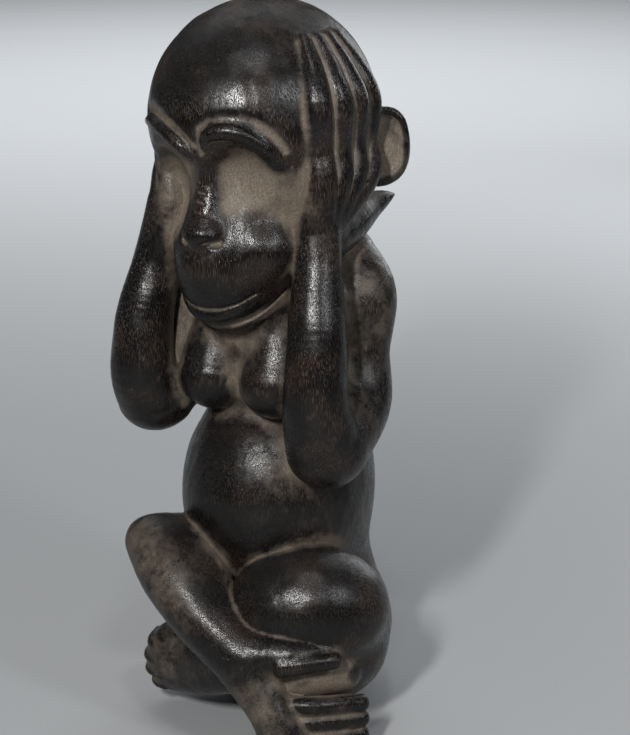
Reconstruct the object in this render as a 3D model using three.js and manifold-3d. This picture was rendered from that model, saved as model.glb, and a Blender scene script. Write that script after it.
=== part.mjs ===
// A seated monkey-like figure carved from one block of dark wood, its hands over its ears and its
// shins crossed. The block is held as eight bodies that meet at the carver's deep creases.
// Millimetres, +Z up. The figure faces -Y and its own left side is +X. The underside is at Z = 0.

import * as THREE from "three";
import { LoftGeometry } from "three/addons/geometries/LoftGeometry.js";
import { mergeVertices } from "three/addons/utils/BufferGeometryUtils.js";
import Module from "manifold-3d";

// Driving dimensions.
const CREASE_GAP = 0.3; // clearance between two bodies that meet at a crease
const SKULL = { centre: [0, -15, 330], radii: [56, 66, 58] };
const MUZZLE = { centre: [0, -36, 260], radii: [30, 46, 41] };
const BELLY = { centre: [0, -3, 125], radii: [50, 57, 62] };
const CHEST = { centre: [0, -4, 212], radii: [41, 43, 56] };
const PELVIS = { centre: [0, 14, 44], radii: [50, 48, 56] };
const EAR = { out: 54, height: 311.5, reach: 14, halfHeight: 21, thickness: 6, turn: 30 };
const EAR_BACK = { left: 14, right: 34 }; // the ears stand where the hands leave them room
const ELBOW_RISE = { left: 0, right: 15 }; // how far each elbow stands above the lower one
const FINGERS = 4;
const FINGER_RADIUS = { tip: 3.9, middle: 5.9, knuckle: 6.9, root: 7, palm: 8, wrist: 11 };
const FINGER_FAN = { tip: 10, middle: 11.2, knuckle: 12.4 }; // degrees round the skull
const HAND_TURN = { left: -28, right: -2 }; // where each hand's first finger lies, from +X towards +Y
const PALM_FRONT = { left: -46, right: -32 };
const TOE_RADIUS = { root: 5.4, middle: 5.2, tip: 5 };
const TOE_PITCH = 9.2;
const BLOCK = 400; // larger than the whole figure

// How finely round forms are faceted.
const BALL_SIDES = 22;
const BALL_RINGS = 14;
const LIMB_SIDES = 12;
const DIGIT_SIDES = 7;
const STEPS_BETWEEN_POINTS = 2;
const CAP_STEPS = 2;

const wasm = await Module();
wasm.setup();

const rad = THREE.MathUtils.degToRad;
const at = (x, y, z) => new THREE.Vector3(x, y, z);

// A closed three.js geometry as a solid.
function solidOf(geometry) {
  const bare = new THREE.BufferGeometry().copy(geometry);
  bare.deleteAttribute("normal");
  bare.deleteAttribute("uv");
  const merged = mergeVertices(bare, 1e-3);
  const mesh = new wasm.Mesh({
    numProp: 3,
    vertProperties: new Float32Array(merged.attributes.position.array),
    triVerts: new Uint32Array(merged.index.array),
  });
  return new wasm.Manifold(mesh);
}

// A solid as a three.js geometry with flat facets.
function geometryOf(solid) {
  const { vertProperties, triVerts } = solid.getMesh();
  const geometry = new THREE.BufferGeometry();
  geometry.setAttribute("position", new THREE.BufferAttribute(vertProperties, 3));
  geometry.setIndex(new THREE.BufferAttribute(triVerts, 1));
  geometry.computeVertexNormals();
  return geometry;
}

// An ellipsoid; turn is in degrees about the vertical through its centre.
function ball(centre, radii, { turn = 0, sides = BALL_SIDES, rings = BALL_RINGS } = {}) {
  return (grow) => {
    const geometry = new THREE.SphereGeometry(1, sides, rings);
    geometry.rotateX(Math.PI / 2);
    geometry.scale(...radii.map((r) => r + grow));
    geometry.rotateZ(rad(turn));
    geometry.translate(...centre);
    return solidOf(geometry);
  };
}

// A round limb whose centre line runs through points, each [x, y, z, radius], with round ends.
function limb(points, sides = LIMB_SIDES) {
  const path = new THREE.CatmullRomCurve3(points.map(([x, y, z]) => at(x, y, z)), false, "centripetal");
  const widths = new THREE.CatmullRomCurve3(points.map((point) => at(point[3], 0, 0)), false, "catmullrom");
  const steps = (points.length - 1) * STEPS_BETWEEN_POINTS;
  const up = Math.abs(path.getTangent(0).z) > 0.8 ? at(0, 1, 0) : at(0, 0, 1);

  const ring = (t, lead, share, grow) => {
    const along = path.getTangent(t);
    const side = up.clone().cross(along).normalize();
    const over = along.clone().cross(side);
    const radius = widths.getPoint(t).x + grow;
    const middle = path.getPoint(t).addScaledVector(along, lead * radius);
    return Array.from({ length: sides }, (_, i) => {
      const turn = (2 * Math.PI * i) / sides;
      return middle
        .clone()
        .addScaledVector(side, Math.cos(turn) * share * radius)
        .addScaledVector(over, Math.sin(turn) * share * radius);
    });
  };

  return (grow) => {
    const rings = [];
    const capAngle = (i) => (Math.PI / 2) * ((CAP_STEPS - i) / (CAP_STEPS + 0.5));
    for (let i = 0; i < CAP_STEPS; i++) {
      rings.push(ring(0, -Math.sin(capAngle(i)), Math.cos(capAngle(i)), grow));
    }
    for (let i = 0; i <= steps; i++) {
      rings.push(ring(i / steps, 0, 1, grow));
    }
    for (let i = CAP_STEPS - 1; i >= 0; i--) {
      rings.push(ring(1, Math.sin(capAngle(i)), Math.cos(capAngle(i)), grow));
    }
    return solidOf(new LoftGeometry(rings, { capStart: true, capEnd: true }));
  };
}

const mirrored = (points) => points.map(([x, ...rest]) => [-x, ...rest]);

// A point on the skull's side, at a height and an angle from +X towards +Y, standing proud by share.
function onSkull(z, degrees, share) {
  const [cx, cy, cz] = SKULL.centre;
  const [rx, ry, rz] = SKULL.radii;
  const level = Math.sqrt(1 - ((z - cz) / rz) ** 2) * share;
  const turn = rad(degrees);
  return [cx + rx * level * Math.cos(turn), cy + ry * level * Math.sin(turn), z];
}

// A wide U over the front of the muzzle, lowest in the middle, from the right to the left.
function lipBand() {
  const half = [
    [10, -67.8, 236.5, 3],
    [19, -59.8, 241.5, 2.6],
    [25.5, -49.8, 248.5, 2.2],
  ];
  return [...mirrored(half).reverse(), [0, -70.8, 235, 3.2], ...half];
}

// The head: skull, muzzle, neck, crescent brows, a long nose and the band of the upper lip.
function headShapes() {
  const brow = [
    [5, -77.5, 321, 3],
    [13, -78.5, 329, 4.2],
    [26, -71.5, 325, 4.2],
    [36, -55, 307, 2],
  ];
  const nose = [
    [0, -65, 314, 4.6],
    [0, -68, 294, 7],
    [0, -75, 278.5, 9.2],
  ];
  return [
    ball(SKULL.centre, SKULL.radii),
    ball(MUZZLE.centre, MUZZLE.radii),
    ball([0, -20, 292], [45, 46, 40]),
    limb([[0, 2, 310, 42], [0, 2, 272, 35], [0, 2, 250, 36]]),
    limb(brow, DIGIT_SIDES),
    limb(mirrored(brow), DIGIT_SIDES),
    limb(nose, DIGIT_SIDES),
    limb(lipBand(), DIGIT_SIDES),
  ];
}

// The hollows under the brows where the eyes would be.
function eyeSockets() {
  return [-1, 1].map((side) => ball([side * 22, -77, 303], [15, 13, 13], { sides: 16, rings: 10 })(0));
}

// One ear: a thick dished disc that stands out from the side of the head behind the hand.
function earShapes(side, back) {
  return [
    ball([side * EAR.out, back, EAR.height], [EAR.reach, EAR.thickness, EAR.halfHeight], {
      turn: side * EAR.turn,
      sides: 16,
      rings: 12,
    }),
  ];
}

// The hollow of an ear's shell, opening forwards.
function earHollows(side, back) {
  const forward = at(0, -EAR.thickness, 0).applyAxisAngle(at(0, 0, 1), rad(side * EAR.turn));
  const radii = [EAR.reach * 0.68, EAR.thickness * 0.8, EAR.halfHeight * 0.7];
  const place = [side * EAR.out + forward.x, back + forward.y, EAR.height];
  return [ball(place, radii, { turn: side * EAR.turn, sides: 12, rings: 8 })(0)];
}

// One arm: the upper arm, the forearm folded up against it, four fingers up the skull and a thumb.
function armShapes(side, rise, handTurn, palmFront) {
  const upperArm = [
    [34, 4, 252, 20],
    [48, 0, 236, 19],
    [50, -3, 207, 16],
    [52, -12, 182 + rise * 0.5, 19],
    [52, -40, 166 + rise, 21],
  ];
  const forearm = [
    [52, -44, 165 + rise, 20],
    [52, -54, 190 + rise * 0.5, 17],
    [51, -52, 225, 15],
    [47, -44, 255, 12.5],
    [44, -38, 280, 12],
  ];
  const web = [
    [36, -22, 236, 14],
    [38, -28, 188 + rise, 15],
  ];
  const fingers = Array.from({ length: FINGERS }, (_, i) => [
    [...onSkull(370, handTurn + FINGER_FAN.tip * i, 0.99), FINGER_RADIUS.tip],
    [...onSkull(354, handTurn - 0.5 + FINGER_FAN.middle * i, 0.985), FINGER_RADIUS.middle],
    [...onSkull(338, handTurn - 1 + FINGER_FAN.knuckle * i, 1), FINGER_RADIUS.knuckle],
    [...onSkull(318, handTurn + 1.5 + FINGER_FAN.knuckle * i, 0.95), FINGER_RADIUS.root],
    [48.5 + 2.2 * i, palmFront + 3 + 11.5 * i, 302, FINGER_RADIUS.palm],
    [44, -40 + 2 * i, 277, FINGER_RADIUS.wrist],
  ]);
  const thumb = [
    [43, -26, 270, 11],
    [44, -4, 275, 9.5],
    [44, 14, 279, 7.5],
    [50.5, 33, 283.5, 1.2],
  ];
  const own = side > 0 ? (points) => points : mirrored;
  return [
    limb(own(upperArm)),
    limb(own(forearm)),
    limb(own(web)),
    ...fingers.map((finger) => limb(own(finger), DIGIT_SIDES)),
    limb(own(thumb), DIGIT_SIDES),
  ];
}

// The trunk: seat, belly, chest, shoulders and the two breasts.
function torsoShapes() {
  const breast = [
    [16, -23, 234, 14],
    [17.5, -32, 210, 17],
    [18.5, -37, 194, 19],
  ];
  return [
    ball(BELLY.centre, BELLY.radii),
    ball(CHEST.centre, CHEST.radii),
    ball(PELVIS.centre, PELVIS.radii),
    limb([[-34, 3, 248, 19], [0, 4, 252, 24], [34, 3, 248, 19]]),
    limb([[0, 8, 240, 33], [0, 12, 190, 36], [0, 12, 130, 40], [0, 16, 60, 42]]),
    limb(breast),
    limb(mirrored(breast)),
  ];
}

// The right foot's lesser toes, long and stacked above each other from the uppermost to the ground.
function stackedToes() {
  return Array.from({ length: 4 }, (_, i) => {
    const fall = TOE_PITCH * i;
    return limb([
      [46, -76, Math.max(34 - fall, 5.2), TOE_RADIUS.root],
      [60, -70, Math.max(34.5 - fall, 5.2), TOE_RADIUS.middle],
      [76, -50, Math.max(31.5 - fall * 0.96, 5.2), TOE_RADIUS.tip],
    ], DIGIT_SIDES);
  });
}

// The leg whose shin crosses in front, with its foot turned on edge below the other knee.
function rightLegShapes() {
  const shin = [
    [-48, -58, 101, 13],
    [-25, -70, 90, 17.5],
    [-3, -75, 72, 16.5],
    [21, -76.5, 54, 15.5],
    [36, -79, 36, 12.5],
    [44, -79, 23, 12.5],
    [47, -78, 13, 13],
  ];
  return [
    limb([[-32, 14, 58, 32], [-38, -20, 76, 28], [-34, -46, 90, 23]]),
    limb(shin),
    limb([[-40, -54, 98, 16], [-24, -56, 91, 20], [-9, -62, 79, 14.5], [5, -67, 70, 10]]),
    limb([[21, -76, 58, 14], [46, -72, 60, 10], [60, -60, 60, 7]]),
    limb([[47, -66, 19, 15], [64, -50, 17, 12]]),
    limb([[46, -60, 45, 13], [60, -44, 44, 12]]),
    limb([[46, -79, 57, 6], [57, -72.5, 58.5, 5.2], [66.5, -62.5, 58.5, 4.7]], DIGIT_SIDES),
    ...stackedToes(),
  ];
}

// The leg behind it: the full knee, its shin passing under the other and the foot on the far side.
function leftLegShapes() {
  return [
    limb([[25, 14, 50, 32], [36, -8, 52, 33], [42, -24, 50, 33]]),
    ball([40, -41, 74], [43, 32, 34], { turn: 30 }),
    limb([[45, -48, 44, 15], [4, -52, 40, 18], [-26, -44, 28, 17]]),
    ball([-41, -40, 28.5], [19, 18, 21], { sides: 16, rings: 12 }),
  ];
}

const REGIONS = {
  right_leg: { shapes: rightLegShapes() },
  left_leg: { shapes: leftLegShapes() },
  left_arm: { shapes: armShapes(1, ELBOW_RISE.left, HAND_TURN.left, PALM_FRONT.left) },
  right_arm: { shapes: armShapes(-1, ELBOW_RISE.right, HAND_TURN.right, PALM_FRONT.right) },
  left_ear: { shapes: earShapes(1, EAR_BACK.left), hollows: earHollows(1, EAR_BACK.left) },
  right_ear: { shapes: earShapes(-1, EAR_BACK.right), hollows: earHollows(-1, EAR_BACK.right) },
  head: { shapes: headShapes(), hollows: eyeSockets() },
  torso: { shapes: torsoShapes() },
};

// All of a region's shapes joined, each one larger all round by grow.
function joined(region, grow) {
  return region.shapes.map((shape) => shape(grow)).reduce((whole, piece) => whole.add(piece));
}

function largestBody(solid) {
  return solid.decompose().reduce((best, body) => (body.volume() > best.volume() ? body : best));
}

// What lies below the surface that the figure sits on.
function ground() {
  const geometry = new THREE.BoxGeometry(BLOCK, BLOCK, BLOCK);
  geometry.translate(0, 0, -BLOCK / 2);
  return solidOf(geometry);
}

// Where two regions share space the one listed first keeps it, and the other is cut back with a gap.
function carve(regions) {
  const below = ground();
  const taken = [];
  return Object.entries(regions).map(([name, region]) => {
    let solid = joined(region, 0).subtract(below);
    for (const hollow of region.hollows ?? []) {
      solid = solid.subtract(hollow);
    }
    for (const earlier of taken) {
      solid = solid.subtract(earlier.grown).subtract(earlier.own);
    }
    const own = largestBody(solid);
    taken.push({ own, grown: joined(region, CREASE_GAP) });
    return [name, own];
  });
}

const WOOD = { color: 0x2a201a, roughness: 0.42, metalness: 0 };
const DUSTY_WOOD = { color: 0x3a2d23, roughness: 0.55, metalness: 0 };
const MATERIALS = {
  right_leg: DUSTY_WOOD,
  left_leg: WOOD,
  left_arm: WOOD,
  right_arm: WOOD,
  left_ear: DUSTY_WOOD,
  right_ear: DUSTY_WOOD,
  head: WOOD,
  torso: WOOD,
};

const figure = new THREE.Group();
for (const [name, solid] of carve(REGIONS)) {
  const mesh = new THREE.Mesh(geometryOf(solid), new THREE.MeshStandardMaterial(MATERIALS[name]));
  mesh.name = name;
  figure.add(mesh);
}

export default figure;
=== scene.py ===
"""A seated monkey-like figure carved from one block of dark wood, hands over its ears and shins crossed.

The carving is modelled as distances on a voxel grid in millimetres: round forms are joined with soft
fillets, grooves are pressed in, and the surface is meshed region by region. The regions are those of
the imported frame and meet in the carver's creases.
"""

import math

import bpy
import numpy as np
import openvdb
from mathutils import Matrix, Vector


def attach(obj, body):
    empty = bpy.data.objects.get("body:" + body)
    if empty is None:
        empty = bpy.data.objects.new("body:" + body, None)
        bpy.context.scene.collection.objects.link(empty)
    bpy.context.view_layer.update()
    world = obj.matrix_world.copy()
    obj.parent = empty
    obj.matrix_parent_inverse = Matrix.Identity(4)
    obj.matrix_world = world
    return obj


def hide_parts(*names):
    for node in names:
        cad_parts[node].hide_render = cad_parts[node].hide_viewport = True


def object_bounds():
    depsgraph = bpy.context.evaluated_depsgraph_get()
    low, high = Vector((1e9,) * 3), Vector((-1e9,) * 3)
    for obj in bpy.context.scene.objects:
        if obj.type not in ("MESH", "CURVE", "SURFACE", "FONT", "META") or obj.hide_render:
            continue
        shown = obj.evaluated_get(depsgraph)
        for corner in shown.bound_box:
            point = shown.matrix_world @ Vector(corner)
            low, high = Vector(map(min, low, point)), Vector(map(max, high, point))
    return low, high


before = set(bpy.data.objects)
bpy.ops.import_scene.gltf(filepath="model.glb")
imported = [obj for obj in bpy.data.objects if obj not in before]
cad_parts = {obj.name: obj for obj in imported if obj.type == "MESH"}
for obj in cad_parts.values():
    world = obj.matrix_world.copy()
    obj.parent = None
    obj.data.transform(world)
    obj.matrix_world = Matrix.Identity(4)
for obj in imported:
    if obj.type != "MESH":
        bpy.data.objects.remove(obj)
cad_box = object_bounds()

# Driving sizes, in millimetres, in the frame: the figure faces -Y and its own left side is +X.
# A side is 1 for the figure's left and -1 for its right.
MM = 0.001
VOXEL = 0.85
BAND = 17.0  # how far from a surface its distance is kept
MARGIN = 6.0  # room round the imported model's box

SKULL_CENTRE, SKULL_RADII = (0, -15, 330), (56, 66, 58)
MUZZLE_CENTRE, MUZZLE_RADII = (0, -36, 260), (30, 46, 41)
HAND_TURN = {1: -28, -1: -2}  # where each hand's first finger lies, in degrees from +X towards +Y
PALM_FRONT = {1: -46, -1: -32}  # along Y
ELBOW_RISE = {1: 0, -1: 15}
EAR_BACK = {1: 14, -1: 34}  # along Y
EAR_OUT, EAR_HEIGHT, EAR_TURN = 54, 310, 30
LEFT_FOOT_CENTRE, LEFT_FOOT_RADII = (-41, -40, 28.5), (19, 18, 21)
RIGHT_TOE_PITCH, LEFT_TOE_PITCH = 9.2, 7.6

LOW = np.array([corner / MM - MARGIN for corner in cad_box[0]])
HIGH = np.array([corner / MM + MARGIN for corner in cad_box[1]])
SHAPE = tuple(int(n) for n in np.ceil((HIGH - LOW) / VOXEL) + 1)
AXES = [LOW[i] + VOXEL * np.arange(SHAPE[i], dtype=np.float32) for i in range(3)]


# --- distances -------------------------------------------------------------------------------------


def window(low, high, margin=BAND):
    """The voxels in a box grown by margin: their slices, and their coordinates as open arrays."""
    slices, coordinates = [], []
    for i in range(3):
        first = max(0, int((low[i] - margin - LOW[i]) / VOXEL))
        last = min(SHAPE[i], int((high[i] + margin - LOW[i]) / VOXEL) + 2)
        slices.append(slice(first, max(first, last)))
        shape = [1, 1, 1]
        shape[i] = -1
        coordinates.append(AXES[i][slices[-1]].reshape(shape))
    return tuple(slices), coordinates


def soft_min(a, b, blend):
    """The smaller of two distances, with a fillet about blend wide where they are alike."""
    if not blend:
        return np.minimum(a, b)
    mix = np.clip(0.5 + 0.5 * (b - a) / blend, 0, 1)
    return b + (a - b) * mix - blend * mix * (1 - mix)


def empty():
    return np.full(SHAPE, BAND, np.float32)


class Ball:
    """An ellipsoid, or a squarer form where power is over 2. turn is in degrees about the vertical."""

    def __init__(self, centre, radii, turn=0, power=2):
        self.centre, self.radii, self.power = centre, radii, power
        self.cos, self.sin = math.cos(math.radians(turn)), math.sin(math.radians(turn))
        reach = max(radii[:2])
        self.low = (centre[0] - reach, centre[1] - reach, centre[2] - radii[2])
        self.high = (centre[0] + reach, centre[1] + reach, centre[2] + radii[2])

    def onto(self, field, combine):
        slices, (x, y, z) = window(self.low, self.high)
        x, y, z = x - self.centre[0], y - self.centre[1], z - self.centre[2]
        along, across = x * self.cos + y * self.sin, y * self.cos - x * self.sin
        scaled = [np.abs(c / r) for c, r in zip((along, across, z), self.radii)]
        p = self.power
        level = sum(s**p for s in scaled) ** (1 / p) + 1e-6
        slope = np.sqrt(sum((s ** (p - 1) / r) ** 2 for s, r in zip(scaled, self.radii))) / level ** (p - 1)
        distance = np.minimum((level - 1) / (slope + 1e-6), BAND)
        field[slices] = combine(field[slices], distance.astype(np.float32))


class Limb:
    """A round form along a smooth line through points, each (x, y, z, radius)."""

    def __init__(self, points, step=3.5):
        self.nodes = smooth_line(np.array(points, float), step)
        spread = self.nodes[:, 3:4]
        self.low = (self.nodes[:, :3] - spread).min(0)
        self.high = (self.nodes[:, :3] + spread).max(0)

    def onto(self, field, combine):
        slices, _ = window(self.low, self.high)
        own = np.full(field[slices].shape, BAND, np.float32)
        start = [s.start for s in slices]
        for a, b in zip(self.nodes[:-1], self.nodes[1:]):
            low = np.minimum(a[:3] - a[3], b[:3] - b[3])
            high = np.maximum(a[:3] + a[3], b[:3] + b[3])
            part, xyz = window(low, high)
            local = tuple(slice(p.start - s, p.stop - s) for p, s in zip(part, start))
            own[local] = np.minimum(own[local], cone_distance(xyz, a, b))
        field[slices] = combine(field[slices], own)


def smooth_line(points, step):
    """Points about step apart on a smooth line through the given ones; every column is smoothed."""
    padded = np.vstack([2 * points[0] - points[1], points, 2 * points[-1] - points[-2]])
    line = [points[0]]
    for p0, p1, p2, p3 in zip(padded, padded[1:], padded[2:], padded[3:]):
        count = max(2, math.ceil(np.linalg.norm((p2 - p1)[:3]) / step))
        for i in range(1, count + 1):
            t = i / count
            line.append(
                0.5 * (2 * p1 + (p2 - p0) * t + (2 * p0 - 5 * p1 + 4 * p2 - p3) * t**2)
                + 0.5 * (3 * p1 - p0 - 3 * p2 + p3) * t**3
            )
    return np.array(line)


def cone_distance(xyz, a, b):
    """Distance to a stretch from a to b whose radius changes evenly."""
    ax = [c - v for c, v in zip(xyz, a[:3])]
    line = (b - a)[:3]
    share = np.clip(sum(c * v for c, v in zip(ax, line)) / max(line @ line, 1e-9), 0, 1)
    squared = sum((c - share * v) ** 2 for c, v in zip(ax, line))
    return (np.sqrt(squared) - (a[3] + (b[3] - a[3]) * share)).astype(np.float32)


def join(field, *shapes, blend=0):
    for shape in shapes:
        shape.onto(field, lambda old, new: soft_min(new, old, blend))


def cut(field, *shapes, blend=0):
    for shape in shapes:
        shape.onto(field, lambda old, new: -soft_min(-old, new, blend))


def press(field, points, width, depth):
    """A groove of a rounded section along a line near the surface; a negative depth makes a ridge."""
    line = Limb([(*p, 0) for p in points], step=1.5)
    line.onto(field, lambda old, new: old + depth * np.exp(-((new / width) ** 2)))


# --- the carved regions ----------------------------------------------------------------------------


def sided(side, points):
    """Points given for the figure's left side, mirrored for its right where side is -1."""
    return [(side * p[0], *p[1:]) for p in points]


def on_skull(z, degrees, proud):
    """A point beside the skull at a height and an angle from +X towards +Y; it is on it if proud is 1."""
    level = math.sqrt(1 - ((z - SKULL_CENTRE[2]) / SKULL_RADII[2]) ** 2) * proud
    turn = math.radians(degrees)
    return (
        SKULL_CENTRE[0] + SKULL_RADII[0] * level * math.cos(turn),
        SKULL_CENTRE[1] + SKULL_RADII[1] * level * math.sin(turn),
        z,
    )


BROW_RIDGE = [
    (8, -74, 317.5, 1.6),
    (4.4, -77.3, 321.5, 2.6),
    (6, -79, 326.6, 3.4),
    (13, -78.6, 329.4, 4),
    (20, -76, 328.8, 4.2),
    (26, -71.5, 325.4, 4),
    (31, -66, 320, 3.5),
    (34.5, -60, 313, 1.9),
]
BROW_BAND = [
    (2.2, -78.5, 318),
    (1.8, -80, 328),
    (6, -80.5, 333.6),
    (12, -80, 336),
    (19.3, -77.6, 336.6),
    (26.8, -73.5, 334.6),
    (33, -68.5, 329.5),
    (37, -63.5, 323.5),
    (38.5, -61, 318.5),
]
# The right brow is straighter: it falls from the temple to the root of the nose.
RIGHT_BROW_RIDGE = [
    (5, -77.5, 316.5, 2),
    (9, -78.8, 320.5, 3.2),
    (15, -78, 324.5, 3.7),
    (24, -73.8, 328.5, 3.8),
    (33, -67, 330, 3.5),
    (41, -58, 328, 2.6),
]
RIGHT_BROW_BAND = [
    (2, -79.3, 321.5),
    (7, -80.2, 325.5),
    (13, -79.3, 329.5),
    (24, -75, 334.8),
    (33, -68.3, 336.2),
    (41, -60, 334.5),
]


def brow(side):
    """The lines of a side's sunken band and of the ridge under it."""
    band, ridge = (BROW_BAND, BROW_RIDGE) if side > 0 else (RIGHT_BROW_BAND, RIGHT_BROW_RIDGE)
    return sided(side, band), sided(side, ridge)


def carve_brow(field, side):
    """A ridge over an eye socket, under a sunken band, and two short creases at the socket's outer end."""
    cut(field, Ball((side * 21, -78, 305), (17, 15, 15)), blend=9)
    band, ridge = brow(side)
    press(field, band, 2.2, 1.5)
    join(field, Limb(ridge), blend=0.9)
    for i in range(2):
        crease = [(40 + i, -56 + 4 * i, 311), (41 + i, -54 + 4 * i, 304), (39 + i, -55 + 4 * i, 298)]
        press(field, sided(side, crease), 0.9, 0.8)


def carve_nose(field):
    """A long straight nose with short nicks across its ridge, and a rounded tip with two nostrils."""
    bridge = [(0, -65, 320, 3.6), (0, -66, 309, 5.2), (0, -68.6, 294, 7), (0, -72.5, 281, 8.6)]
    nostril = [(3, -84.5, 272, 1.8), (7, -81.5, 273, 2.6), (10, -76, 274, 1.6)]
    join(field, Limb(bridge), blend=4)
    join(field, Ball((0, -75.5, 277.5), (10.5, 9.5, 8)), blend=3)
    for side in (-1, 1):
        cut(field, Limb(sided(side, nostril)), blend=0.8)
    for z, front in ((306.5, -71.3), (302, -72.8), (297.5, -74.4), (293, -76), (288.5, -78)):
        press(field, [(-3.6, front, z + 0.4), (1.6, front, z - 0.4)], 0.6, 0.9)


def mouth_line(z_middle, y_middle):
    """A wide U over the front of the muzzle, lowest in the middle, as points from right to left."""
    rise_outwards = [(0, 0, 0), (10, 3, 1.5), (19, 11, 6.5), (25.5, 21, 13.5), (29, 31, 21)]
    half = [(x, y_middle + back, z_middle + up) for x, back, up in rise_outwards]
    return [(-x, y, z) for x, y, z in half[:0:-1]] + half


def thickened(line, ends, middle):
    """The line's points with a radius that swells from the ends to the middle."""
    last = len(line) - 1
    return [(*p, ends + (middle - ends) * math.sin(math.pi * i / last)) for i, p in enumerate(line)]


def carve_mouth(field):
    """A groove over a full upper lip, and a crescent gap between it and the receding jaw."""
    press(field, mouth_line(239, -74.5), 1.6, 1.9)
    join(field, Limb(thickened(mouth_line(235, -70.8), 2, 3.2)), blend=0.8)
    cut(field, Limb(thickened(mouth_line(228.5, -67), 0.6, 3.7)), blend=0.8)
    jaw = [(-20, -50, 234), (-10, -57, 225.5), (2, -58, 223), (13, -54, 225), (22, -45, 234)]
    press(field, jaw, 1.2, -1.2)


def carve_head():
    field = empty()
    join(field, Ball(SKULL_CENTRE, SKULL_RADII))
    join(field, Ball((0, -20, 292), (45, 46, 40)), blend=12)
    join(field, Limb([(0, 2, 310, 42), (0, 2, 272, 35), (0, 2, 250, 36)]), blend=14)
    join(field, Ball(MUZZLE_CENTRE, MUZZLE_RADII), blend=14)
    # The muzzle's sides, the left one fuller and further forward.
    join(field, Ball((17, -50, 267), (21, 20.5, 20)), blend=6)
    join(field, Ball((-12, -45, 267), (19, 19, 19)), blend=8)
    for side in (-1, 1):
        carve_brow(field, side)
    # The hollow of the right cheek.
    cut(field, Ball((-30, -66, 292), (14, 20, 23)), blend=6)
    carve_nose(field)
    carve_mouth(field)
    return field


def carve_ear(side):
    """A dished ear that stands out behind the hand: a thin plate inside a thick rim."""
    back, turn = EAR_BACK[side], math.radians(EAR_TURN)
    rim = [
        (-12, 328.5, 2.2),
        (-4, 330, 2.2),
        (4, 329.8, 2.2),
        (9.3, 325, 2.3),
        (11, 316, 2.3),
        (10.6, 307, 2.4),
        (8, 300, 3.1),
        (3, 296, 3.3),
        (-3, 294.5, 3.3),
        (-10, 296, 3.3),
    ]
    field = empty()
    middle = (side * (EAR_OUT - 4 * math.cos(turn)), back - 4 * math.sin(turn) + 2, EAR_HEIGHT + 1)
    join(field, Ball(middle, (17, 3.4, 19), side * EAR_TURN, power=2.4))
    path = [(EAR_OUT + a * math.cos(turn), back + a * math.sin(turn), z, r) for a, z, r in rim]
    join(field, Limb(sided(side, path)), blend=1.2)
    return field


def carve_hand(field, side):
    """Four fingers up the side of the skull, and a pointed thumb that runs back under the ear.

    The heel of the right palm lies forward, in the hollow of the cheek.
    """
    turn = HAND_TURN[side]
    for i in range(4):
        finger = [
            (*on_skull(370, turn + 10 * i, 0.99), 3.9),
            (*on_skull(354, turn - 0.5 + 11.2 * i, 0.985), 5.9),
            (*on_skull(338, turn - 1 + 12.4 * i, 1), 6.9),
            (*on_skull(318, turn + 1.5 + 12.4 * i, 0.95), 7),
            (48.5 + 2.2 * i, PALM_FRONT[side] + 3 + 11.5 * i, 302, 8),
            (44, -40 + 2 * i, 277, 11),
        ]
        join(field, Limb(sided(side, finger)), blend=0.7)
    thumb = [
        (43, -26, 270, 12),
        (44, -4, 275, 10.5),
        (44, 14, 279, 8),
        (47.5, 25, 282, 4.8),
        (50.5, 33, 283.5, 1.2),
    ]
    join(field, Limb(sided(side, thumb)), blend=3)
    if side < 0:
        heel = [
            (-46, -44, 256, 11),
            (-40, -46, 272, 9.5),
            (-37, -46, 289, 7),
            (-43, -43, 306, 5),
            (-49, -34, 318, 4),
        ]
        join(field, Limb(heel), blend=3)


def carve_arm(side):
    field = empty()
    rise = ELBOW_RISE[side]
    upper = [
        (34, 4, 252, 20),
        (48, 0, 236, 19),
        (50, -3, 207, 16),
        (52, -12, 182 + rise * 0.5, 19),
        (52, -40, 166 + rise, 21),
    ]
    fore = [
        (52, -44, 165 + rise, 20.5),
        (52, -54, 190 + rise * 0.5, 17),
        (51, -52, 225, 15),
        (47, -44, 255, 12.5),
        (44, -38, 282, 11.5),
    ]
    web = [(36, -22, 236, 14), (38, -28, 188 + rise, 15)]
    join(field, Limb(sided(side, upper)))
    join(field, Limb(sided(side, web)), blend=6)
    join(field, Limb(sided(side, fore)), blend=2)
    carve_hand(field, side)
    return field


BREAST_LINE = [
    (2.5, -47, 228),
    (3, -50, 215),
    (4, -53, 195),
    (10, -54, 180),
    (20, -53, 174.5),
    (32, -46, 177),
]


def carve_torso():
    field = empty()
    join(field, Ball((0, -4, 212), (41, 43, 56)))
    join(field, Limb([(-34, 3, 248, 19), (0, 4, 252, 24), (34, 3, 248, 19)]), blend=10)
    join(field, Ball((0, -3, 125), (50, 57, 62)), blend=6)
    join(field, Limb([(0, 8, 240, 33), (0, 12, 190, 36), (0, 12, 130, 40), (0, 16, 60, 42)]), blend=14)
    join(field, Ball((0, 14, 44), (50, 48, 56)), blend=12)
    for side in (-1, 1):
        breast = [(16, -23, 234, 14), (17.5, -32, 210, 17), (18.5, -37, 194, 19)]
        join(field, Limb(sided(side, breast)), blend=1.5)
        join(field, Ball((side * 20, 30, 215), (15, 12, 28)), blend=9)
        press(field, sided(side, BREAST_LINE), 1.3, 1.2)
    press(field, [(-1, -60, 150), (-1, -60, 147)], 1.2, 1.6)
    press(field, [(0, 47, 245), (0, 50, 190), (0, 57, 130), (0, 62, 84)], 6, 2.5)
    press(field, [(0, 63, 52), (0, 62, 25), (0, 56, 4)], 5, 4)
    return field


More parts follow.
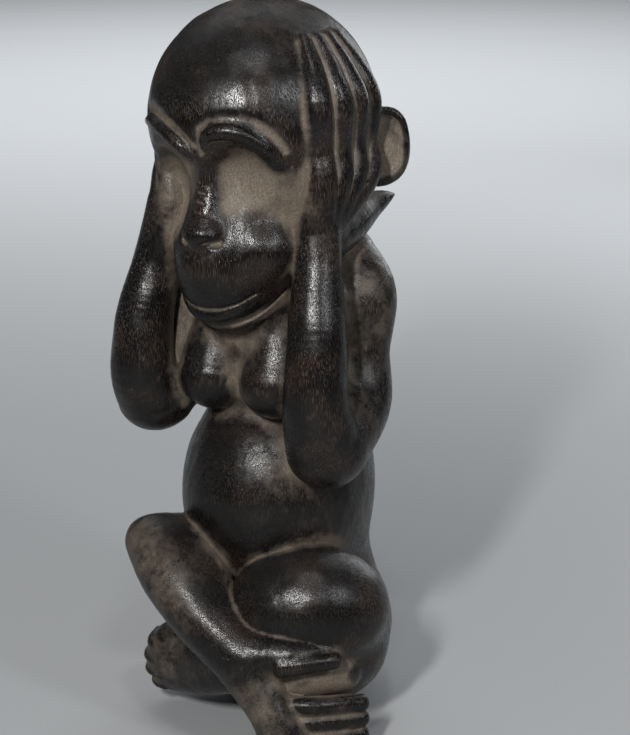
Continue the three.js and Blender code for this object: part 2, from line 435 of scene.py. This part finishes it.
def carve_right_leg():
    """The leg whose shin crosses in front, and whose long toes lie stacked at the picture's right."""
    field = empty()
    join(field, Limb([(-32, 14, 58, 32), (-38, -20, 76, 28), (-34, -46, 90, 23)]))
    shin = [
        (-48, -58, 101, 13),
        (-25, -70, 90, 17.5),
        (-3, -75, 72, 16.5),
        (21, -76.5, 54, 15.5),
        (36, -79, 36, 12.5),
        (44, -79, 23, 12.5),
        (47, -78, 13, 13),
    ]
    join(field, Limb(shin), blend=7)
    calf = [(-40, -54, 98, 16), (-24, -56, 91, 20), (-9, -62, 79, 14.5), (5, -67, 70, 10)]
    join(field, Limb(calf), blend=8)
    join(field, Limb([(21, -76, 58, 14), (46, -72, 60, 10), (60, -60, 60, 7)]), blend=5)
    join(field, Limb([(47, -66, 19, 15), (64, -50, 17, 12)]), blend=3)
    join(field, Limb([(46, -60, 45, 13), (60, -44, 44, 12)]), blend=2)
    for i in range(4):
        fall = RIGHT_TOE_PITCH * i
        toe = [(46, -76, 34 - fall, 5.4), (60, -70, 34.5 - fall, 5.2), (76, -50, 31.5 - fall * 0.96, 5)]
        join(field, Limb([(x, y, max(z, 5.2), r) for x, y, z, r in toe]), blend=0.8)
    join(field, Limb([(46, -79, 57, 6), (57, -72.5, 58.5, 5.2), (66.5, -62.5, 58.5, 4.7)]), blend=1.2)
    return field


def carve_left_leg():
    """The leg with the full knee, whose shin passes behind the other to a foot on the far side."""
    field = empty()
    join(field, Limb([(25, 14, 50, 32), (36, -8, 52, 33), (42, -24, 50, 33)]))
    join(field, Ball((40, -41, 74), (43, 32, 34), turn=30), blend=5)
    join(field, Limb([(45, -48, 44, 15), (4, -52, 40, 18), (-26, -44, 28, 17)]), blend=8)
    join(field, Ball(LEFT_FOOT_CENTRE, LEFT_FOOT_RADII), blend=6)
    x, y, height = LEFT_FOOT_CENTRE
    for i in range(4):
        z = 38 - LEFT_TOE_PITCH * i
        reach = 18.5 * math.sqrt(1 - ((z - height) / LEFT_FOOT_RADII[2]) ** 2)
        toe = [
            (x - 1.5 - 0.9 * reach, y + 3, z, 3),
            (x - 0.76 * reach, y - 0.55 * reach, z - 1, 3.3),
            (x - 0.2 * reach, y - 0.85 * reach, z - 2, 1.5),
        ]
        join(field, Limb(toe), blend=1)
    return field


REGIONS = {
    "torso": carve_torso(),
    "head": carve_head(),
    "left_ear": carve_ear(1),
    "right_ear": carve_ear(-1),
    "left_arm": carve_arm(1),
    "right_arm": carve_arm(-1),
    "left_leg": carve_left_leg(),
    "right_leg": carve_right_leg(),
}
# How softly each region runs into the ones before it.
JOIN_FILLET = {
    "head": 10,
    "left_ear": 2.5,
    "right_ear": 2.5,
    "left_arm": 2,
    "right_arm": 2,
    "left_leg": 2,
    "right_leg": 2,
}


def whole_surface():
    """The distance to the whole carving, cut flat where it rests."""
    names = list(REGIONS)
    whole = REGIONS[names[0]].copy()
    for name in names[1:]:
        whole = soft_min(REGIONS[name], whole, JOIN_FILLET[name])
    return np.maximum(whole, -AXES[2].reshape(1, 1, -1))


WHOLE = whole_surface()


# --- meshing ---------------------------------------------------------------------------------------


def sample(field, points):
    """The field's value at points, between its voxels."""
    place = (points - LOW) / VOXEL
    cell = np.clip(np.floor(place), 0, np.array(SHAPE) - 2).astype(np.int64)
    share = (place - cell).astype(np.float32)
    flat = field.ravel()
    first = (cell[:, 0] * SHAPE[1] + cell[:, 1]) * SHAPE[2] + cell[:, 2]
    value = np.zeros(len(points), np.float32)
    for i in (0, 1):
        for j in (0, 1):
            for k in (0, 1):
                weight = 1
                for axis, corner in enumerate((i, j, k)):
                    weight = weight * (share[:, axis] if corner else 1 - share[:, axis])
                value += weight * flat[first + (i * SHAPE[1] + j) * SHAPE[2] + k]
    return value


def gradient(field, points, reach=0.6 * VOXEL):
    """The field's slope at points."""
    slope = np.empty((len(points), 3), np.float32)
    for axis in range(3):
        step = np.zeros(3)
        step[axis] = reach
        slope[:, axis] = (sample(field, points + step) - sample(field, points - step)) / (2 * reach)
    return slope


def unit(vectors):
    return vectors / np.maximum(np.linalg.norm(vectors, axis=1, keepdims=True), 1e-6)


def meshed(field):
    """The field's zero surface as points in millimetres and four-sided faces that face outwards."""
    grid = openvdb.FloatGrid(BAND)
    grid.copyFromArray(np.ascontiguousarray(field))
    points, quads = grid.convertToQuads(isovalue=0)
    points = points.astype(np.float64) * VOXEL + LOW
    corners = points[quads[:, :3]]
    turned = np.einsum("ij,ij->i", corners[:, 0], np.cross(corners[:, 1], corners[:, 2])).sum()
    return points, quads if turned > 0 else quads[:, ::-1]


def fit_seam(points, field, border):
    """Moves the points where the surface meets a neighbour onto both at once. Returns which they are."""
    seam_reach, longest_step = 0.75 * VOXEL, 0.4 * VOXEL
    seam = (np.abs(sample(field, points)) < seam_reach) & (np.abs(sample(border, points)) < seam_reach)
    moved = points[seam]
    for _ in range(4):
        values = np.stack([sample(field, moved), sample(border, moved)], 1)
        slopes = np.stack([gradient(field, moved), gradient(border, moved)], 1)
        square = np.einsum("nij,nkj->nik", slopes, slopes) + 0.02 * np.eye(2)
        step = np.einsum("nij,ni->nj", slopes, np.linalg.solve(square, values[..., None])[..., 0])
        moved = moved - np.clip(step, -longest_step, longest_step)
    points[seam] = moved
    return seam


def lattice_noise(points, size, seed):
    """Smooth values from -1 to 1 that vary over size millimetres along X, Y and Z."""
    count = 48
    table = np.random.RandomState(seed).uniform(-1, 1, (count, count, count)).astype(np.float32)
    place = points / np.array(size)
    cell = np.floor(place).astype(np.int64)
    share = place - cell
    share = share * share * (3 - 2 * share)
    value = 0
    for corner in np.ndindex(2, 2, 2):
        weight = np.prod([share[:, a] if c else 1 - share[:, a] for a, c in enumerate(corner)], axis=0)
        i, j, k = ((cell[:, a] + c) % count for a, c in enumerate(corner))
        value = value + weight * table[i, j, k]
    return value


def hand_work(points):
    """The unevenness that knife and sandpaper leave, in millimetres."""
    broad_depth, small_depth = 0.32, 0.14
    broad = broad_depth * lattice_noise(points, (13, 13, 19), seed=3)
    small = small_depth * lattice_noise(points, (4.5, 4.5, 8), seed=5)
    return broad + small


def shelter(points, normals):
    """0 in the open to 1 deep in a hollow, from how close other wood stands in front of the surface."""
    helper = np.where(np.abs(normals[:, 2:3]) < 0.8, (0.0, 0.0, 1.0), (1.0, 0.0, 0.0))
    side = unit(np.cross(normals, helper))
    over = np.cross(normals, side)
    closed = np.zeros(len(points), np.float32)
    looks = [normals] + [unit(normals + lean) for lean in (side, -side, over, -over)]
    for look in looks:
        for reach in (5.0, 9.0, 14.0):
            closed += np.clip(1 - sample(WHOLE, points + look * reach) / reach, 0, 1)
    return closed / (len(looks) * 3)


def bend(points, reach):
    """How sharply the surface is rounded, per millimetre: positive on a ridge, negative in a crease."""
    total = -6 * sample(WHOLE, points)
    for axis in range(3):
        for way in (-reach, reach):
            step = np.zeros(3)
            step[axis] = way
            total = total + sample(WHOLE, points + step)
    return total / reach**2


def rise(values, low, high):
    """0 below low to 1 above high, with soft ends."""
    share = np.clip((values - low) / (high - low), 0, 1)
    return share * share * (3 - 2 * share)


# Where handling left the wood dusty (above 0) or rubbed it clean: a middle, a reach and an amount.
WORN_SPOTS = [
    ((21, -68, 308), 16, 1.0),
    ((-21, -68, 308), 15, 0.9),
    ((34, -56, 292), 15, 0.7),
    ((-34, -56, 292), 15, 0.7),
    ((14, -68, 292), 9, 0.5),
    ((40, -50, 260), 14, 0.6),
    ((-32, -58, 270), 12, 0.5),
    ((0, -45, 225), 16, 0.2),
    ((0, -48, 195), 13, 0.45),
    ((24, -52, 208), 20, 0.1),
    ((-18, -57, 190), 11, -0.9),
    ((60, -14, 235), 24, 0.38),
    ((60, -30, 195), 16, 0.36),
    ((-48, -44, 215), 22, 0.3),
    ((58, 14, 308), 17, 0.8),
    ((-58, 34, 308), 17, 0.8),
    ((32, -52, 152), 22, 0.4),
    ((-8, -72, 90), 24, 0.5),
    ((-42, -66, 106), 24, 0.5),
    ((32, -84, 40), 22, 0.4),
    ((-48, -52, 28), 24, 0.45),
    ((58, -56, 45), 14, 0.8),
    ((66, -62, 30), 20, 0.3),
    ((44, -66, 66), 14, 0.7),
    ((24, -72, 80), 30, -1.0),
    ((50, -64, 78), 24, -0.5),
    ((-20, -50, 130), 34, -0.8),
    ((8, -78, 254), 24, -1.0),
    ((25, -68, 269), 14, -1.3),
    ((0, -20, 386), 26, 0.3),
    ((52, -62, 180), 26, -0.6),
    ((50, -66, 228), 30, -0.9),
    ((50, -54, 264), 15, -0.9),
    ((-50, -50, 264), 15, -0.6),
    ((-56, -62, 215), 30, -0.6),
    ((6, -78, 350), 26, -0.6),
    ((0, 48, 240), 14, 0.5),
    ((0, 62, 30), 12, 0.6),
    ((30, 30, 262), 14, 0.5),
    ((-30, 30, 262), 14, 0.5),
]


def worn_lines():
    """The same for narrow marks along a line: its points, a reach and an amount."""
    lines = [
        (mouth_line(239, -74.5), 1.7, 0.9),
        (mouth_line(234.5, -74), 1.6, -1.2),
        (mouth_line(226, -64), 3, 1),
        ([(0, -70, 316), (-0.5, -71.5, 306), (-1, -75, 294), (-1, -81, 281)], 5.5, -1.5),
        ([(-50, -66, 110), (-25, -84, 96), (-3, -90, 78), (21, -90, 62)], 13, 0.26),
        ([(34, -92, 44), (44, -90, 24)], 13, 0.22),
    ]
    for side in (-1, 1):
        band, ridge = brow(side)
        lines.append((band, 2.4, 1))
        lines.append(([p[:3] for p in ridge], 4, -1.6))
        lines.append((sided(side, [(3, -84.5, 272), (7, -82, 273), (10, -76, 274)]), 2.2, 1))
        lines.append((sided(side, BREAST_LINE), 2.2, 1.1))
        for i in range(3):
            turn = HAND_TURN[side]
            gap = [on_skull(370, turn + 5 + 10 * i, 1), on_skull(338, turn + 5.2 + 12.4 * i, 1.03)]
            gap += [on_skull(316, turn + 7.7 + 12.4 * i, 1.02)]
            lines.append((sided(side, gap), 1.5, 0.75))
        front = [on_skull(368, turn - 5, 1), on_skull(338, turn - 8.5, 1), on_skull(318, turn - 6, 0.97)]
        front.append((44, PALM_FRONT[side] - 6, 298))
        lines.append((sided(side, front), 2.2, 0.6))
    return lines


def dustiness(points, normals):
    """How dusty the wood is: 1 in the hollows, 0 in the open and -1 where it is rubbed to a shine."""
    sheltered = rise(shelter(points, normals), 0.28, 0.72)
    creased = rise(-bend(points, 1.7), 0.06, 0.45)
    rubbed = rise(bend(points, 2.5), 0.05, 0.3)
    dust = 0.6 * sheltered - 0.35 * rubbed
    for middle, reach, amount in WORN_SPOTS:
        away = np.linalg.norm(points - middle, axis=1) / reach
        dust += amount * np.exp(-(away**2))
    for line, reach, amount in worn_lines():
        nodes = smooth_line(np.array(line, float), 1.5)
        end = 2.5 * reach  # a mark is too faint to see beyond it
        inside = (points > nodes.min(0) - end) & (points < nodes.max(0) + end)
        near = np.flatnonzero(inside.all(axis=1))
        if len(near):
            away = np.min([np.linalg.norm(points[near] - node, axis=1) for node in nodes], axis=0) / reach
            dust[near] += amount * np.exp(-(away**2))
    return np.clip(np.maximum(dust, 0.75 * creased - 0.2), -1, 1)


def blender_mesh(name, points, quads, seam):
    """The mesh in metres, smooth shaded but for the hidden edge along its neighbours."""
    mesh = bpy.data.meshes.new(name)
    mesh.vertices.add(len(points))
    mesh.vertices.foreach_set("co", (points * MM).astype(np.float32).ravel())
    mesh.loops.add(quads.size)
    mesh.loops.foreach_set("vertex_index", quads.astype(np.int32).ravel())
    mesh.polygons.add(len(quads))
    mesh.polygons.foreach_set("loop_start", np.arange(0, quads.size, 4, dtype=np.int32))
    mesh.update(calc_edges=True)
    mesh.validate()
    mesh.polygons.foreach_set("use_smooth", np.ones(len(mesh.polygons), bool))
    edges = np.empty(len(mesh.edges) * 2, np.int32)
    mesh.edges.foreach_get("vertices", edges)
    sharp = seam[edges.reshape(-1, 2)].all(1)
    mesh.attributes.new("sharp_edge", "BOOLEAN", "EDGE").data.foreach_set("value", sharp)
    return mesh


def carved_piece(name, material):
    """One region of the carving as a closed mesh that ends where its neighbours begin."""
    own = REGIONS[name]
    others = np.full(SHAPE, BAND, np.float32)
    for other, field in REGIONS.items():
        if other != name:
            others = np.minimum(others, field)
    border = (own - others) / 2
    points, quads = meshed(np.maximum(WHOLE, border))
    seam = fit_seam(points, WHOLE, border)
    outside = np.abs(sample(WHOLE, points)) < VOXEL
    normals = unit(gradient(WHOLE, points))
    dust = dustiness(points, normals)
    points = points + normals * (hand_work(points) * outside)[:, None]
    points[:, 2] = np.maximum(points[:, 2], 0)
    mesh = blender_mesh(name, points, quads, seam)
    mesh.attributes.new("dust", "FLOAT", "POINT").data.foreach_set("value", dust.astype(np.float32))
    mesh.materials.append(material)
    piece = bpy.data.objects.new("carved_" + name, mesh)
    bpy.context.scene.collection.objects.link(piece)
    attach(piece, "root")
    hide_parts(name)
    return piece


# --- material --------------------------------------------------------------------------------------


class Nodes:
    """Short calls for a material's nodes."""

    def __init__(self, name):
        self.material = bpy.data.materials.new(name)
        self.material.use_nodes = True
        self.tree = self.material.node_tree
        self.shader = self.tree.nodes["Principled BSDF"]

    def add(self, kind, inputs=(), **settings):
        node = self.tree.nodes.new(kind)
        for key, value in settings.items():
            setattr(node, key, value)
        for socket, value in dict(inputs).items():
            self.put(node.inputs[socket], value)
        return node

    def put(self, socket, value):
        if isinstance(value, bpy.types.NodeSocket):
            self.tree.links.new(value, socket)
        else:
            socket.default_value = value

    def math(self, operation, a, b=0.0, clamp=False):
        node = self.add("ShaderNodeMath", {0: a, 1: b}, operation=operation, use_clamp=clamp)
        return node.outputs[0]

    def ramp(self, value, low, high, start=0.0, end=1.0):
        """value's stretch from low to high, spread smoothly from start to end."""
        inputs = {"Value": value, "From Min": low, "From Max": high, "To Min": start, "To Max": end}
        node = self.add("ShaderNodeMapRange", inputs, interpolation_type="SMOOTHSTEP")
        return node.outputs["Result"]

    def mix(self, share, a, b):
        node = self.add("ShaderNodeMix", data_type="RGBA")
        self.put(node.inputs["Factor"], share)
        self.put(node.inputs["A"], a)
        self.put(node.inputs["B"], b)
        return node.outputs["Result"]

    def noise(self, coordinates, scale, detail=3.0, roughness=0.55, stretch=(1, 1, 1)):
        """Noise with scale features to the metre, longer along an axis whose stretch is small."""
        place = self.add("ShaderNodeMapping", {"Vector": coordinates, "Scale": stretch})
        inputs = {"Vector": place.outputs[0], "Scale": scale, "Detail": detail, "Roughness": roughness}
        return self.add("ShaderNodeTexNoise", inputs).outputs["Fac"]

    def mark(self, name):
        return self.add("ShaderNodeAttribute", attribute_name=name).outputs["Fac"]


def wood_material():
    """Dense near-black wood, rubbed to a gloss, with open vertical pores and dust in its hollows."""
    n = Nodes("dark_wood")
    place = n.add("ShaderNodeTexCoord").outputs["Object"]
    broad = n.noise(place, 45, 4)
    patches = n.noise(place, 110, 5, 0.68)
    pores = n.noise(place, 2600, 1, 0.4, stretch=(1, 1, 0.09))
    fibres = n.noise(place, 3600, 2, 0.6, stretch=(1, 1, 0.05))
    grit = n.noise(place, 1300, 3, 0.65)
    facets = n.noise(place, 150, 1, 0.4, stretch=(1, 1, 0.5))

    uneven = n.ramp(patches, 0.26, 0.74, -0.25, 0.25)
    dust = n.ramp(n.math("ADD", n.mark("dust"), uneven), 0.0, 1.0)
    pore = n.ramp(pores, 0.52, 0.64)
    pore_dust = n.math("MULTIPLY", pore, n.ramp(broad, 0.42, 0.62, 0.05, 0.6))

    dark, brown = (0.0022, 0.0017, 0.0015, 1), (0.0100, 0.0056, 0.0044, 1)
    wood = n.mix(n.ramp(broad, 0.45, 0.72), dark, brown)
    wood = n.mix(n.math("MULTIPLY", n.ramp(fibres, 0.45, 0.75), 0.3), wood, (0.014, 0.009, 0.007, 1))
    wood = n.mix(pore_dust, wood, (0.046, 0.036, 0.027, 1))
    dirt = n.mix(n.ramp(grit, 0.35, 0.7), (0.090, 0.072, 0.054, 1), (0.170, 0.138, 0.106, 1))
    colour = n.mix(n.math("MULTIPLY", dust, 0.92), wood, dirt)

    gloss = n.ramp(patches, 0.3, 0.7, 0.20, 0.33)
    shine = n.ramp(n.mark("dust"), -0.7, 0.1, 0.52, 1)
    rough = n.math("MULTIPLY", n.math("ADD", gloss, n.math("MULTIPLY", pore, 0.15)), shine)
    rough = n.math("ADD", rough, n.math("MULTIPLY", dust, 0.32), clamp=True)

    height = n.math("MULTIPLY", pore, -0.35)
    height = n.math("ADD", height, n.math("MULTIPLY", fibres, -0.2))
    height = n.math("ADD", height, n.math("MULTIPLY", facets, 1.2))
    height = n.math("ADD", height, n.math("MULTIPLY", grit, 0.08))
    bump = n.add("ShaderNodeBump", {"Height": height, "Strength": 0.8, "Distance": 0.0005})

    n.put(n.shader.inputs["Base Color"], colour)
    n.put(n.shader.inputs["Roughness"], rough)
    n.put(n.shader.inputs["Normal"], bump.outputs[0])
    n.shader.inputs["Specular IOR Level"].default_value = 0.36
    n.shader.inputs["IOR"].default_value = 1.5
    return n.material


# --- stage, light and camera -----------------------------------------------------------------------

CAMERA_TURN, CAMERA_RISE = math.radians(30), math.radians(16)
CAMERA_REACH = 1.0  # metres from the figure's middle
FIGURE_MIDDLE = Vector((0, 0, 0.195))
SENSOR_HEIGHT, LENS = 36, 91.102  # millimetres
AIM_RIGHT, AIM_UP = 0.0188, -0.0051  # metres the camera aims beside the figure's middle


def camera_axes():
    """The unit vectors towards the camera, to its right and upwards in its picture."""
    back = Vector((
        math.sin(CAMERA_TURN) * math.cos(CAMERA_RISE),
        -math.cos(CAMERA_TURN) * math.cos(CAMERA_RISE),
        math.sin(CAMERA_RISE),
    ))
    right = Vector((math.cos(CAMERA_TURN), math.sin(CAMERA_TURN), 0))
    return back, right, back.cross(right)


def aim(item, target):
    item.rotation_euler = (target - item.location).to_track_quat("-Z", "Y").to_euler()


def make_camera():
    back, right, up = camera_axes()
    data = bpy.data.cameras.new("camera")
    data.sensor_fit = "VERTICAL"
    data.sensor_height = SENSOR_HEIGHT
    data.lens = LENS
    camera = bpy.data.objects.new("camera", data)
    bpy.context.scene.collection.objects.link(camera)
    camera.location = FIGURE_MIDDLE + back * CAMERA_REACH
    aim(camera, FIGURE_MIDDLE + right * AIM_RIGHT + up * AIM_UP)
    bpy.context.scene.camera = camera


def soft_light(name, place, target, size, power, tint=(1, 1, 1), spread=math.pi):
    data = bpy.data.lights.new(name, "AREA")
    data.shape = "RECTANGLE"
    data.size, data.size_y = size
    data.energy = power
    data.color = tint
    data.spread = spread
    light = bpy.data.objects.new(name, data)
    bpy.context.scene.collection.objects.link(light)
    light.location = place
    aim(light, Vector(target))


def make_lights():
    """A soft box by the camera, weaker ones right of it and behind, and lamps over figure and paper."""
    back, right, up = camera_axes()
    middle = FIGURE_MIDDLE

    def seen_from_camera(x, y, z):
        return middle + right * x + up * y + back * z

    soft_light("key", seen_from_camera(-0.3, 0.3, 1.2), middle, (0.075, 0.19), 17.5, (1, 0.985, 0.965))
    soft_light("fill", seen_from_camera(0.7, 0.35, 0.95), middle, (0.16, 0.3), 4.5, (0.95, 0.97, 1))
    soft_light("lamp", seen_from_camera(0.03, 1.0, 0.9), middle, (0.12, 0.12), 3)
    soft_light("back", seen_from_camera(0.85, 0.75, -1.1), middle, (0.5, 0.7), 4.5, (0.96, 0.98, 1))
    away = Vector((-back.x, -back.y, 0)).normalized()
    over_paper = away * 2.5 + Vector((0, 0, 2.2))
    soft_light("paper", over_paper, away * 3.0, (3, 3), 108, (0.98, 0.99, 1), spread=2.2)
    world = bpy.data.worlds.new("world")
    bpy.context.scene.world = world
    world.use_nodes = True
    world.node_tree.nodes["Background"].inputs["Color"].default_value = (0.80, 0.84, 0.88, 1)
    world.node_tree.nodes["Background"].inputs["Strength"].default_value = 0.08


def make_stage():
    """A round, plain floor of pale paper, wide enough to fill the camera's picture."""
    radius, sides = 6.5, 96
    turns = [2 * math.pi * i / sides for i in range(sides)]
    points = [(radius * math.cos(turn), radius * math.sin(turn), 0) for turn in turns]
    mesh = bpy.data.meshes.new("paper")
    mesh.from_pydata(points, [], [tuple(range(sides))])
    n = Nodes("paper")
    place = n.add("ShaderNodeTexCoord").outputs["Object"]
    speckle = n.noise(place, 900, 2)
    n.put(n.shader.inputs["Base Color"], n.mix(speckle, (0.27, 0.28, 0.29, 1), (0.32, 0.33, 0.34, 1)))
    n.shader.inputs["Roughness"].default_value = 0.6
    mesh.materials.append(n.material)
    floor = bpy.data.objects.new("floor", mesh)
    bpy.context.scene.collection.objects.link(floor)


bpy.context.scene.view_settings.view_transform = "Standard"
make_camera()
make_lights()
make_stage()
wood = wood_material()
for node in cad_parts:
    carved_piece(node, wood)
